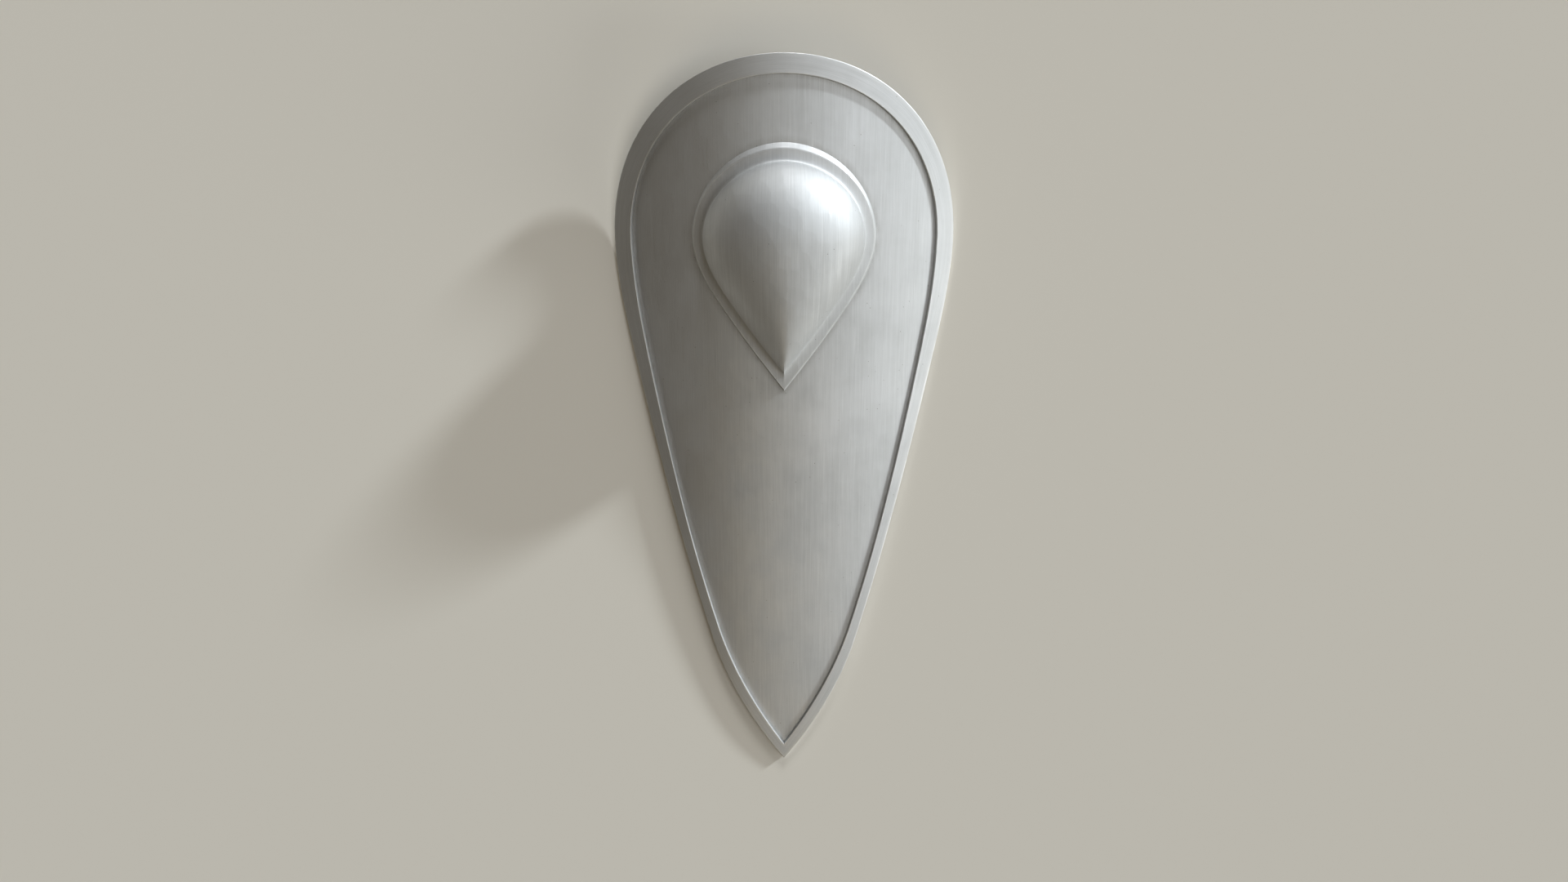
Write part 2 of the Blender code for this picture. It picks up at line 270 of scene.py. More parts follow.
BEHIND = -(PLATE_THICK + SEAT_BEHIND)
RIM_LOWEST = BEHIND - RIM_SHEET
corners = coarse_ring(0.0, RIM_LOWEST + RIM_EDGE) + coarse_ring(0.0, RIM_RISE - RIM_EDGE)
corners += coarse_ring(RIM_EDGE, RIM_LOWEST) + coarse_ring(RIM_EDGE, RIM_RISE)
lower = [c for c in corners if c.y < 0.0]
upper = [c for c in corners if c.y > 0.0]
heel = min(lower, key=lambda c: c.y)
for _ in range(SETTLE_PASSES):
    tilt = max(atan2(heel.z - c.z, c.y - heel.y) for c in upper)
    heel = min(lower, key=lambda c: c.y * sin(tilt) + c.z * cos(tilt))
turned = [Matrix.Rotation(tilt, 3, "X") @ c for c in corners]
middle = (min(c.y for c in turned) + max(c.y for c in turned)) / 2
lying = Matrix.Translation((0.0, -middle, -min(c.z for c in turned))) @ Matrix.Rotation(tilt, 4, "X")
worked_out = [lying @ c for c in corners]
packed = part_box("rim")[1]
off = max(c.x for c in worked_out) - packed.x, max(c.y for c in worked_out) - packed.y
print("tilt in degrees:", round(degrees(tilt), 3), "off the packed rim in mm:", [in_mm(x, 4) for x in off])

# %% [markdown]
# ## The camera
#
# The picture was taken from in front of the shield, a little towards its round top, from close
# by: the top edge of the boss shows and its lower edge is foreshortened. The place was solved in
# the shield's own directions, so it is carried over by the same lying transform.

# %% Place the camera
VIEW_HEIGHT_ANGLE = radians(45.0)
CAMERA_ALONG = 0.5037
CAMERA_OUT = 1.5999
AIM_OUT = 0.0023
PHOTO_WIDTH = 1920
PHOTO_HEIGHT = 1080


def placed(name, data):
    """A new object that shows this data in the scene."""
    thing = bpy.data.objects.new(name, data)
    bpy.context.scene.collection.objects.link(thing)
    return thing


camera_data = bpy.data.cameras.new("camera")
camera = placed("camera", camera_data)
focal_pixels = PHOTO_HEIGHT / 2 / tan(VIEW_HEIGHT_ANGLE / 2)
camera_data.lens = focal_pixels / PHOTO_WIDTH * camera_data.sensor_width
eye = lying @ Vector((0.0, CAMERA_ALONG, CAMERA_OUT))
aim = lying @ Vector((0.0, 0.0, AIM_OUT))
forward = (aim - eye).normalized()
level = forward.cross(Vector((0.0, 1.0, 0.0))).normalized()
upright = level.cross(forward)
camera.matrix_world = Matrix.Translation(eye) @ Matrix((level, upright, -forward)).transposed().to_4x4()
bpy.context.scene.camera = camera
print("camera at", [round(x, 3) for x in eye], "lens", round(camera_data.lens, 2), "mm")

# %% [markdown]
# ## The floor and the light
#
# The floor is plain and pale. Steel shows mostly what it reflects, so the light is what shapes
# it. A sun lamp with a wide disc lights like a large soft box that stands far away, so the floor
# stays even right to the horizon. The key light is cool and comes in low from the upper right: it
# lights the right half of the rolled plate and leaves the left half in shade. Two low lights
# round it off, one from high up lifts the middle, and a weak warm one fills the shade. The
# surroundings are dark overhead, which gives the steel its depth, and pale at the horizon.
#
# Materials and surroundings are trees of nodes. A few helpers come first, so that each tree reads
# as a short list of what is added to what.

# %% Helpers for shader trees
EVEN = (1.0, 1.0, 1.0)

# A noise: its scale per metre, detail and roughness, and the range of its values that counts
Pattern = namedtuple("Pattern", "scale detail roughness low high")


def shader_of(name):
    """A new material with its tree and its main shader."""
    material = bpy.data.materials.new(name)
    material.use_nodes = True
    return material, material.node_tree, material.node_tree.nodes["Principled BSDF"]


def add(tree, kind, values=(), **settings):
    """A new node with its settings and, by name or number, its input values or links."""
    node = tree.nodes.new(kind)
    for key, value in settings.items():
        setattr(node, key, value)
    for key, value in dict(values).items():
        if isinstance(value, bpy.types.NodeSocket):
            tree.links.new(value, node.inputs[key])
        else:
            node.inputs[key].default_value = value
    return node


def calculate(tree, kind, a, b):
    return add(tree, "ShaderNodeMath", {0: a, 1: b}, operation=kind).outputs[0]


def spread(tree, value, low, high, to_low=0.0, to_high=1.0):
    """Stretches the range low to high of a value onto another range, and cuts off the rest."""
    values = {"Value": value, "From Min": low, "From Max": high, "To Min": to_low, "To Max": to_high}
    return add(tree, "ShaderNodeMapRange", values).outputs["Result"]


def noise(tree, place, kind, stretch=EVEN, turn=0.0):
    """A pattern's plain noise, drawn out along some axes and turned about Z."""
    mapping = add(tree, "ShaderNodeMapping", {
        "Vector": place, "Scale": stretch, "Rotation": (0.0, 0.0, turn),
    })
    return add(tree, "ShaderNodeTexNoise", {
        "Vector": mapping.outputs[0], "Scale": kind.scale,
        "Detail": kind.detail, "Roughness": kind.roughness,
    }).outputs["Fac"]


def pattern(tree, place, kind, stretch=EVEN, turn=0.0, least=0.0):
    """A pattern's noise with its low to high spread over `least` to 1."""
    return spread(tree, noise(tree, place, kind, stretch, turn), kind.low, kind.high, least)


def tint(tree, share, one, two):
    """Mixes two colours, each a plain colour or a link, by a share."""
    ends = [value if isinstance(value, bpy.types.NodeSocket) else (*value, 1.0) for value in (one, two)]
    return add(tree, "ShaderNodeMix", {0: share, 6: ends[0], 7: ends[1]}, data_type="RGBA").outputs[2]


def weighed(tree, marks, weights, how="ADD"):
    """The named marks, each times its weight: their sum, or with MAXIMUM the strongest."""
    total = 0.0
    for name, weight in weights.items():
        total = calculate(tree, how, calculate(tree, "MULTIPLY", marks[name], weight), total)
    return total


def coat(tree, shader, colour, roughness):
    tree.links.new(colour, shader.inputs["Base Color"])
    tree.links.new(roughness, shader.inputs["Roughness"])


def bumped(tree, shader, marks, heights):
    """Raises the named marks by their heights in metres, in the shader's bump."""
    height = weighed(tree, marks, heights)
    bump = add(tree, "ShaderNodeBump", {"Height": height, "Strength": 1.0, "Distance": 1.0})
    tree.links.new(bump.outputs[0], shader.inputs["Normal"])


def carried(tree, name):
    return add(tree, "ShaderNodeAttribute", attribute_name=name).outputs["Fac"]


print("shader helpers ready")

# %% Lay the floor
FLOOR_SIZE = 120.0
FLOOR_COLOUR = (0.76, 0.725, 0.65)
FLOOR_ROUGH = 0.9
FLOOR_SHEEN = 0.0

floor_paint, _, floor_shader = shader_of("pale_floor")
floor_shader.inputs["Base Color"].default_value = (*FLOOR_COLOUR, 1.0)
floor_shader.inputs["Roughness"].default_value = FLOOR_ROUGH
floor_shader.inputs["Specular IOR Level"].default_value = FLOOR_SHEEN
floor_mesh = bpy.data.meshes.new("floor")
half = FLOOR_SIZE / 2
floor_corners = [(-half, -half, 0), (half, -half, 0), (half, half, 0), (-half, half, 0)]
floor_mesh.from_pydata(floor_corners, [], [(0, 1, 2, 3)])
floor_mesh.materials.append(floor_paint)
floor = placed("floor", floor_mesh)
floor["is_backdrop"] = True
print("floor:", FLOOR_SIZE, "m each way")

# %% Set the lights
WORLD_COLOUR = (0.043, 0.032, 0.019)
HORIZON_COLOUR = (0.49, 0.465, 0.405)
HORIZON_BAND = 0.22
# Name, azimuth from +X, height and width in degrees, strength, colour
SOFT_LIGHTS = (
    ("key", 38.0, 11.0, 5.0, 3.05, (0.87, 0.94, 1.0)),
    ("right_low", -25.0, 14.0, 30.0, 0.95, (0.98, 1.0, 0.98)),
    ("far_low", 85.0, 17.0, 12.0, 1.18, (0.96, 0.98, 1.0)),
    ("above", 0.0, 65.0, 30.0, 0.72, (0.92, 0.96, 1.0)),
    ("warm_fill", -90.0, 55.0, 30.0, 0.26, (1.0, 0.86, 0.62)),
)


def soft_light(name, azimuth, height, width, strength, colour):
    """A far disc of light that shines on the middle of the scene."""
    turn, lift = radians(azimuth), radians(height)
    way = Vector((cos(lift) * cos(turn), cos(lift) * sin(turn), sin(lift)))
    data = bpy.data.lights.new(name, "SUN")
    data.angle = radians(width)
    data.energy = strength
    data.color = colour
    placed(name, data).rotation_euler = (-way).to_track_quat("-Z", "Y").to_euler()


for soft in SOFT_LIGHTS:
    soft_light(*soft)
world = bpy.data.worlds.new("studio")
world.use_nodes = True
sky = world.node_tree
way_up = add(sky, "ShaderNodeSeparateXYZ", {0: add(sky, "ShaderNodeTexCoord").outputs["Object"]})
fading = add(sky, "ShaderNodeMapRange", {
    "Value": way_up.outputs["Z"], "From Max": HORIZON_BAND,
}, interpolation_type="SMOOTHSTEP")
sky_colour = tint(sky, fading.outputs["Result"], HORIZON_COLOUR, WORLD_COLOUR)
sky.links.new(sky_colour, sky.nodes["Background"].inputs["Color"])
bpy.context.scene.world = world
bpy.context.scene.view_settings.view_transform = "Standard"
print("lights:", [soft[0] for soft in SOFT_LIGHTS])

# %% [markdown]
# ## Satin steel
#
# Satin steel is a metal with a fine, blurred shine. Its grey hardly changes, and what makes it
# real is the change in shine: a brushed grain along the sheet's length, slow patches where it was
# rubbed and handled, hairline scratches, a few pits, brighter worn edges, and a brown-grey film in
# the corners that a cloth can't reach. The film is also painted shade: it darkens the corners
# between the parts, where shade falls. Raised sheet also keeps shallow hammer marks. Each mesh
# carries two numbers per vertex, for wear and for grime with painted shade, so that the shader
# knows where edges and corners are. On the middle of the rim's step wall the wear number is
# painted light, which lightens a wall that stands in shade. Heights for the bump are in metres, as
# everything here is.

# %% The marks on the steel
PATCHES = Pattern(5.0, 5.0, 0.58, 0.35, 0.65)
SMUDGES = Pattern(19.0, 3.0, 0.62, 0.42, 0.70)
FILM_AND_SHADE = Pattern(55.0, 3.0, 0.65, 0.25, 0.60)
FILM_AND_SHADE_LEAST = 0.35
RUBBING = Pattern(38.0, 2.0, 0.60, 0.35, 0.60)
RUBBING_LEAST = 0.25
ROLLED_SKIN = Pattern(1100.0, 1.0, 0.60, 0.0, 1.0)
WAVES = Pattern(9.0, 1.0, 0.40, 0.0, 1.0)
FINE_GRAIN = Pattern(1.0, 2.0, 0.60, 0.30, 0.70)
FINE_STRETCH = (1300.0, 16.0, 1.0)
BROAD_GRAIN = Pattern(1.0, 3.0, 0.60, 0.30, 0.70)
BROAD_STRETCH = (260.0, 5.0, 1.0)
HAIRLINE = Pattern(1.0, 1.0, 0.50, 0.68, 0.74)
# For each way that hairlines run: its turn in radians, and how fine they are across
HAIRLINE_WAYS = ((0.45, 1500.0), (-1.15, 1900.0), (2.25, 1300.0), (1.2, 1700.0))
HAIRLINE_REACH = 9.0
PITS_PER_METRE = 130.0
PIT_SHARE = 0.22
PIT_FLOOR = 0.05
PIT_EDGE = 0.11
DISHES_PER_METRE = 48.0


def hairlines(tree, sheet):
    """Thin scratches that cross in a few directions, each one a thread of drawn-out noise."""
    found = 0.0
    for turn, fine in HAIRLINE_WAYS:
        line = pattern(tree, sheet, HAIRLINE, (fine, HAIRLINE_REACH, 1.0), turn)
        found = calculate(tree, "MAXIMUM", line, found)
    return found


def pits(tree, place):
    """Small round pits in a few of the cells of a cell pattern."""
    cells = add(tree, "ShaderNodeTexVoronoi", {"Vector": place, "Scale": PITS_PER_METRE})
    chosen = calculate(tree, "LESS_THAN", cells.outputs["Color"], PIT_SHARE)
    depth = spread(tree, cells.outputs["Distance"], PIT_FLOOR, PIT_EDGE, 1.0, 0.0)
    return calculate(tree, "MULTIPLY", depth, chosen)


def hammer_dishes(tree, place):
    """The shallow, overlapping dishes that a planishing hammer leaves."""
    cells = add(tree, "ShaderNodeTexVoronoi", {"Vector": place, "Scale": DISHES_PER_METRE})
    return calculate(tree, "MULTIPLY", cells.outputs["Distance"], cells.outputs["Distance"])


def steel_marks(tree):
    """Every mark on the steel by name, each a number from 0 to 1 at each place."""
    place = add(tree, "ShaderNodeTexCoord").outputs["Object"]
    sheet = add(tree, "ShaderNodeUVMap", uv_map="sheet").outputs[0]
    film_and_shade = pattern(tree, place, FILM_AND_SHADE, least=FILM_AND_SHADE_LEAST)
    rubbing = pattern(tree, place, RUBBING, least=RUBBING_LEAST)
    return {
        "patches": pattern(tree, place, PATCHES),
        "smudges": pattern(tree, place, SMUDGES),
        "fine": pattern(tree, sheet, FINE_GRAIN, FINE_STRETCH),
        "broad": pattern(tree, sheet, BROAD_GRAIN, BROAD_STRETCH),
        "scratched": hairlines(tree, sheet),
        "pitted": pits(tree, place),
        "dishes": hammer_dishes(tree, place),
        "skin": noise(tree, place, ROLLED_SKIN),
        "waves": noise(tree, place, WAVES),
        # The film follows the grime number, so it darkens the corners between the parts: grime and painted
        # shade
        "film_and_shade": calculate(tree, "MULTIPLY", carried(tree, "grime"), film_and_shade),
        # Worn places brighten; on the middle of the rim's step wall this is painted light
        "rubbed_and_sheen": calculate(tree, "MULTIPLY", carried(tree, "wear"), rubbing),
    }


print("marks: grain,", len(HAIRLINE_WAYS), "ways of hairlines, pits, hammer marks, film, worn edges")

# %% Satin steel
STEEL_LIGHT = (0.665, 0.675, 0.68)
STEEL_DULL = (0.555, 0.56, 0.555)
STEEL_BRIGHT = (0.80, 0.805, 0.80)
# Brown-grey of the film in the corners: grime, and painted shade between the parts
STEEL_FILM_AND_SHADE = (0.20, 0.17, 0.13)

DULLED = {"patches": 0.32, "broad": 0.30, "fine": 0.22, "smudges": 0.12}
DARKENED = {"film_and_shade": 0.75, "pitted": 0.6}
BRIGHTENED = {"rubbed_and_sheen": 0.8, "scratched": 0.35}
ROUGHENED = {
    "patches": 0.07, "smudges": 0.05, "broad": 0.05, "fine": 0.04,
    "film_and_shade": 0.20, "pitted": 0.20, "rubbed_and_sheen": -0.14, "scratched": -0.12,
}
ROUGHENED_MEAN = 0.09
RAISED = {
    "skin": 0.000008, "fine": 0.000006, "broad": 0.000008,
    "scratched": -0.000010, "pitted": -0.00006, "waves": 0.0003,
}
# Slot, mean roughness, height of the rims between hammer marks
STEEL_FINISHES = (
    ("plate_steel", 0.63, 0.00015), ("rim_steel", 0.62, 0.00006),
    ("boss_steel", 0.67, 0.00030), ("rivet_steel", 0.50, 0.0),
)


def satin_steel(name, rough, hammered):
    """Brushed steel of a mean roughness, with hammer marks of a height in metres."""
    material, tree, shader = shader_of(name)
    marks = steel_marks(tree)
    colour = tint(tree, weighed(tree, marks, DULLED), STEEL_LIGHT, STEEL_DULL)
    # The film darkens the corners, as grime and as painted shade
    colour = tint(tree, weighed(tree, marks, DARKENED, "MAXIMUM"), colour, STEEL_FILM_AND_SHADE)
    # Worn places brighten, and on the rim's step wall that is painted light on a wall in shade
    colour = tint(tree, weighed(tree, marks, BRIGHTENED, "MAXIMUM"), colour, STEEL_BRIGHT)
    change = weighed(tree, marks, ROUGHENED)
    coat(tree, shader, colour, calculate(tree, "ADD", change, rough - ROUGHENED_MEAN))
    shader.inputs["Metallic"].default_value = 1.0
    bumped(tree, shader, marks, {**RAISED, "dishes": hammered})
    return material


steels = {slot: satin_steel(slot, rough, hammered) for slot, rough, hammered in STEEL_FINISHES}
print("steel finishes:", sorted(steels))

# %% [markdown]
# ## Skins over loops
#
# A bent plate, a folded band and a raised dome are all the same kind of shape: a skin over a row
# of loops. One helper joins the loops, gives every vertex its wear and its grime with painted
# shade, and lays the flat drawing on the skin as a UV map in metres, so that the grain runs along
# the sheet as it does on real rolled steel. A folded band is brushed along its length, so its map
# follows the band.

# %% Skin, numbers and laying down
Ring = namedtuple("Ring", "line out wear grime")
CRISP = radians(32.0)
MERGE_WITHIN = 0.000002
CM3_PER_M3 = 1e6


def flat_ring(line, out, wear=0.0, grime=0.0):
    """A ring at one height whose wear and grime with painted shade are the same all round, or one number a
    place.
    """
    count = len(line)
    return Ring(line, np.full(count, out), np.full(count, wear), np.full(count, grime))


def join_rows(form, one, two):
    """Faces between two closed rows of vertices. A row of one vertex is a tip."""
    count = max(len(one), len(two))
    for i in range(count):
        j = (i + 1) % count
        if len(one) == 1:
            form.faces.new((one[0], two[j], two[i]))
        elif len(two) == 1:
            form.faces.new((one[i], one[j], two[0]))
        else:
            form.faces.new((one[i], one[j], two[j], two[i]))


def band_places(rings):
    """UV places that follow a band: across it from its first ring, and along it from the top."""
    line, count = rings[0].line, len(rings[0].line)
    forms = [np.column_stack((ring.line, ring.out)) for ring in rings]
    steps = [np.linalg.norm(two - one, axis=1).mean() for one, two in zip(forms, forms[1:])]
    reach = reach_along(np.vstack((line, line[:1])))
    along = np.where(np.arange(count) > count // 2, reach[:-1] - reach[-1], reach[:-1])
    return [[(far, place) for place in along] for far in np.concatenate(([0.0], np.cumsum(steps)))]


def steel_skin(name, rings, material, closed=False, band=False):
    """A skin over rings in their order. Its UV map is the flat drawing, or follows the band."""
    form = bmesh.new()
    places = band_places(rings) if band else [ring.line for ring in rings]
    sheet = form.loops.layers.uv.new("sheet")
    wear = form.verts.layers.float.new("wear")
    grime = form.verts.layers.float.new("grime")
    drawn = {}
    rows = []
    for ring, ring_places in zip(rings, places):
        row = []
        for (across, along), out, worn, film_and_shade, place in zip(*ring, ring_places):
            vert = form.verts.new(on_shield(across, along, out))
            vert[wear], vert[grime] = worn, film_and_shade
            drawn[vert] = place
            row.append(vert)
        rows.append(row)
    if closed:
        rows.append(rows[0])
    for one, two in zip(rows, rows[1:]):
        join_rows(form, one, two)
    for face in form.faces:
        left = band and min(drawn[corner.vert][1] for corner in face.loops) < 0.0
        for corner in face.loops:
            u, v = drawn[corner.vert]
            corner[sheet].uv = (u, -abs(v)) if left else (u, v)
    return finished(name, form, material)


def finished(name, form, material):
    """Merges what meets, lays the piece on the floor and makes it an object at the origin."""
    bmesh.ops.remove_doubles(form, verts=form.verts, dist=MERGE_WITHIN)
    form.normal_update()
    volume = form.calc_volume(signed=True)
    mesh = bpy.data.meshes.new(name)
    form.to_mesh(mesh)
    form.free()
    mesh.transform(lying)
    mesh.materials.append(material)
    mesh.shade_smooth()
    mesh.set_sharp_from_angle(angle=CRISP)
    piece = placed(name, mesh)
    triangles = sum(len(face.vertices) - 2 for face in mesh.polygons)
    print(name, triangles, "triangles, volume in cm3:", round(volume * CM3_PER_M3, 2))
    return piece


def stands_for(piece, slot, *nodes):
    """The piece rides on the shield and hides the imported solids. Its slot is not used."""
    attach(piece, "root")
    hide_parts(*nodes)


def distance_to(line, places):
    """The distance of each place from a closed line on the sheet."""
    best = np.full(len(places), np.inf)
    for a, b in zip(line, np.roll(line, -1, axis=0)):
        run = b - a
        share = np.clip(((places - a) @ run) / (run @ run), 0.0, 1.0)
        best = np.minimum(best, np.linalg.norm(places - a - share[:, None] * run, axis=1))
    return best


def fade(distance, reach):
    """1 at no distance, falling smoothly to 0 at `reach`."""
    left = np.clip(1.0 - distance / reach, 0.0, 1.0)
    return left * left * (3.0 - 2.0 * left)


print("skin helpers ready")

# %% [markdown]
# ## The face plate
#
# One sheet of 1.2 mm steel, cut to the kite and rolled. Its edge is hidden in the fold of the
# rim. A plain grid would cut across the outline in steps, so the skin runs in loops that follow
# the rim and close on the centre line like the growth rings of a leaf. Where the rim and the boss
# stand on the field, the plate is darkened, partly as grime and partly as painted shade.

# %% Make the face plate
UNDER_RIM = 0.004
FIELD_INSETS = (0.0005, 0.0020, 0.0040, 0.0070, 0.0110)
FIELD_LOOPS = 34
SPINE_SHARE = 0.62
# Grime with painted shade beside the rim and the boss: how dark, and how far it reaches
RIM_GRIME_AND_SHADE = 0.30
RIM_GRIME_AND_SHADE_REACH = 0.008
BOSS_GRIME_AND_SHADE = 0.30
BOSS_GRIME_AND_SHADE_REACH = 0.010
BACK_GRIME = 0.25

plate_loops = [loop(kite, RIM_SHEET + SEAT), loop(field, -UNDER_RIM)]
plate_loops += [loop(field, inward) for inward in FIELD_INSETS]
innermost = plate_loops[-1]
spine = np.column_stack((np.zeros(len(innermost)), SPINE_SHARE * innermost[:, 1]))
for step in range(1, FIELD_LOOPS + 1):
    plate_loops.append(blend(innermost, spine, step / FIELD_LOOPS))
field_line, boss_line = loop(field), loop(boss_edge)


def field_ring(line):
    """A ring of the plate's front, darkened beside the rim and the boss by grime and painted shade."""
    beside_rim = RIM_GRIME_AND_SHADE * fade(distance_to(field_line, line), RIM_GRIME_AND_SHADE_REACH)
    beside_boss = BOSS_GRIME_AND_SHADE * fade(distance_to(boss_line, line), BOSS_GRIME_AND_SHADE_REACH)
    return flat_ring(line, 0.0, 0.0, np.maximum(beside_rim, beside_boss))


front = [field_ring(line) for line in plate_loops]
back = [flat_ring(line, -PLATE_THICK, 0.0, BACK_GRIME) for line in plate_loops]
plate = steel_skin("shield_plate", front[::-1] + back, steels["plate_steel"])
stands_for(plate, "plate_steel", "face_plate")

# %% [markdown]
# ## The rim
#
# A strip folded over the plate's edge: its broad face stands 5.5 mm proud, steps down sharply to
# the field, and its other side is turned in behind the plate. Nothing folded from sheet has a
# razor edge, so each visible edge is a small arc of loops, and these carry the wear.

# %% Make the rim
OUTER_ROUND = 0.0012
INNER_ROUND = 0.0008
UNDER_ROUND = 0.0010
ROUND_STEPS = 4
BAND_LOOPS = 6
SUPPORT = 0.0010
EDGE_WEAR = 0.95
UNDER_WEAR = 0.5
BAND_EDGE_WEAR = 0.25
# The loops down the step, round the inside of the fold and behind: the outline and how far in
# from it, the height, the wear, and the grime with painted shade. The wear on the middle of the
# step wall is painted light on a wall that stands in shade, and the grime at the step's foot and
# in the fold is painted shade as well as grime.
FOLD = (
    (field, 0.0, RIM_RISE / 2, 0.1, 0.0),
    (field, 0.0, SEAT, 0.0, 0.3),
    (field, -RIM_SHEET, SEAT, 0.0, 1.0),
    (field, -RIM_SHEET, RIM_RISE - RIM_SHEET, 0.0, 0.0),
    (kite, RIM_SHEET, RIM_RISE - RIM_SHEET, 0.0, 0.0),
    (kite, RIM_SHEET, BEHIND, 0.0, 0.6),
    (kite, RIM_RETURN - RIM_SHEET / 2, BEHIND, 0.0, 0.8),
    (kite, RIM_RETURN, BEHIND - RIM_SHEET / 2, 0.3, 0.6),
    (kite, RIM_RETURN - RIM_SHEET / 2, RIM_LOWEST, 0.4, 0.0),
    (kite, UNDER_ROUND + SUPPORT, RIM_LOWEST, 0.2, 0.0),
)


def round_edge(shape, centre_in, centre_out, radius, first, last, wear=EDGE_WEAR):
    """Loops round an edge: angles in degrees, 180 points out of the outline and 90 out of the face."""
    angles = np.radians(np.linspace(first, last, ROUND_STEPS + 1))
    lines = [loop(shape, centre_in + radius * cos(angle)) for angle in angles]
    return [flat_ring(line, centre_out + radius * sin(a), wear) for line, a in zip(lines, angles)]


section = round_edge(kite, UNDER_ROUND, RIM_LOWEST + UNDER_ROUND, UNDER_ROUND, 270.0, 180.0, UNDER_WEAR)
section += round_edge(kite, OUTER_ROUND, RIM_RISE - OUTER_ROUND, OUTER_ROUND, 180.0, 90.0)
band_out = loop(kite, OUTER_ROUND + SUPPORT)
band_in = loop(field, -INNER_ROUND - SUPPORT)
for step in range(BAND_LOOPS + 1):
    near_edge = BAND_EDGE_WEAR if step in (0, BAND_LOOPS) else 0.0
    section.append(flat_ring(blend(band_out, band_in, step / BAND_LOOPS), RIM_RISE, near_edge))
section += round_edge(field, -INNER_ROUND, RIM_RISE - INNER_ROUND, INNER_ROUND, 90.0, 0.0)
section += [flat_ring(loop(shape, inward), *values) for shape, inward, *values in FOLD]
rim = steel_skin("shield_rim", section[::-1], steels["rim_steel"], closed=True, band=True)
stands_for(rim, "rim_steel", "rim")

# %% [markdown]
# ## The boss
#
# The boss is one sheet raised over a stake: a pointed flange with a bevelled edge, and a tall
# hollow dome that starts as a teardrop and turns into an egg as it climbs. Its keel is sharp at
# the point and melts away towards the crown. Hammering can't leave a sharp inside corner, so
# the flange starts flat at its bevel and sweeps up into the dome's foot in one hollow curve.

# %% Make the boss
FOOT_HEIGHT = 0.0054
FOOT_STEPS = 16
# Grime with painted shade in the hollow where the flange sweeps into the dome
FOOT_GRIME_AND_SHADE = 0.25
FLANGE_FLAT = 0.58
DOME_LOOPS = 44
INNER_LOOPS = 14
KEEL_WIDTH = 0.005
KEEL_WEAR = 0.7
SLANT_AT_POINT = 2.0
# The bevel's loops: share of the way in, share of the way up, wear, and grime, which is
# painted shade where the bevel meets the field
BEVEL = (
    (0.0, 0.0, 0.2, 0.5), (0.06, 0.10, 0.2, 0.2), (0.5, 0.52, 0.1, 0.0),
    (0.88, 0.90, 0.6, 0.0), (1.0, 1.0, 0.9, 0.0),
)


def level_line(sharp, shape, climb):
    """A level line of the dome: pointed at the foot, an egg higher up, a place at the crown."""
    below = sharp[:, 1] < shape.widest
    down = np.clip((shape.widest - sharp[:, 1]) / (shape.widest - shape.point), 0.0, 1.0)
    egg = sharp.copy()
    egg[below, 0] = np.sign(sharp[below, 0]) * shape.half * np.sqrt(1.0 - down[below] ** 2)
    centre = np.array((0.0, shape.widest))
    share = cos(climb)
    return centre + share * (share * (sharp - centre) + (1.0 - share) * (egg - centre))


def dome_rings(shape, base, count, start):
    """The dome's loops from the climb `start` up to the crown, with the worn keel."""
    sharp = loop(shape)
    rings = []
    for step in range(count):
        climb = start + (pi / 2 - start) * step / count
        line = level_line(sharp, shape, climb)
        low = np.clip((shape.widest - line[:, 1]) / (shape.widest - shape.point), 0.0, 1.0)
        keel = np.exp(-((line[:, 0] / KEEL_WIDTH) ** 2)) * low**2
        rings.append(flat_ring(line, base + DOME_HEIGHT * sin(climb), KEEL_WEAR * keel))
    rings.append(flat_ring(np.array(((0.0, shape.widest),)), base + DOME_HEIGHT))
    return rings


edge_line, flange_line = loop(boss_edge), loop(flange)
outside = []
for inward, height, wear, grime in BEVEL:
    line = blend(edge_line, flange_line, inward)
    outside.append(flat_ring(line, blend(SEAT, FLANGE_RISE, height), wear, grime))
foot_climb = asin(FOOT_HEIGHT / DOME_HEIGHT)
foot_in = level_line(loop(dome), dome, foot_climb)
for u in np.linspace(0.0, 1.0, FOOT_STEPS + 1)[1:]:
    share = 3 * (1 - u) ** 2 * u * FLANGE_FLAT + 3 * (1 - u) * u**2 + u**3
    line = blend(flange_line, foot_in, share)
    outside.append(flat_ring(line, FLANGE_RISE + FOOT_HEIGHT * u**3, 0.0, FOOT_GRIME_AND_SHADE * u**2 * (1 - u)))
outside += dome_rings(dome, FLANGE_RISE, DOME_LOOPS, foot_climb)[1:]

under = FLANGE_RISE - BOSS_SHEET
hollow = shrink(dome, BOSS_SHEET, BOSS_SHEET, SLANT_AT_POINT * BOSS_SHEET)
# Inside, the edge of the hollow is darkened: grime and painted shade
inside = [
    flat_ring(loop(boss_edge, BOSS_SHEET), SEAT, 0.0, 1.0),
    flat_ring(loop(flange, BOSS_SHEET), under),
] + dome_rings(hollow, under, INNER_LOOPS, 0.0)
boss = steel_skin("shield_boss", outside[::-1] + inside, steels["boss_steel"])
stands_for(boss, "boss_steel", "boss")

# %% [markdown]
# ## Leather
#
# Strap leather is a closed brown surface with fine pores, lighter where it is bent and handled,
# darker and glossier along its rubbed edges. The straps carry two numbers per vertex for these,
# one for the bend and one for the edge. The thread is linen, twisted and waxed, so its shine
# changes from strand to strand.

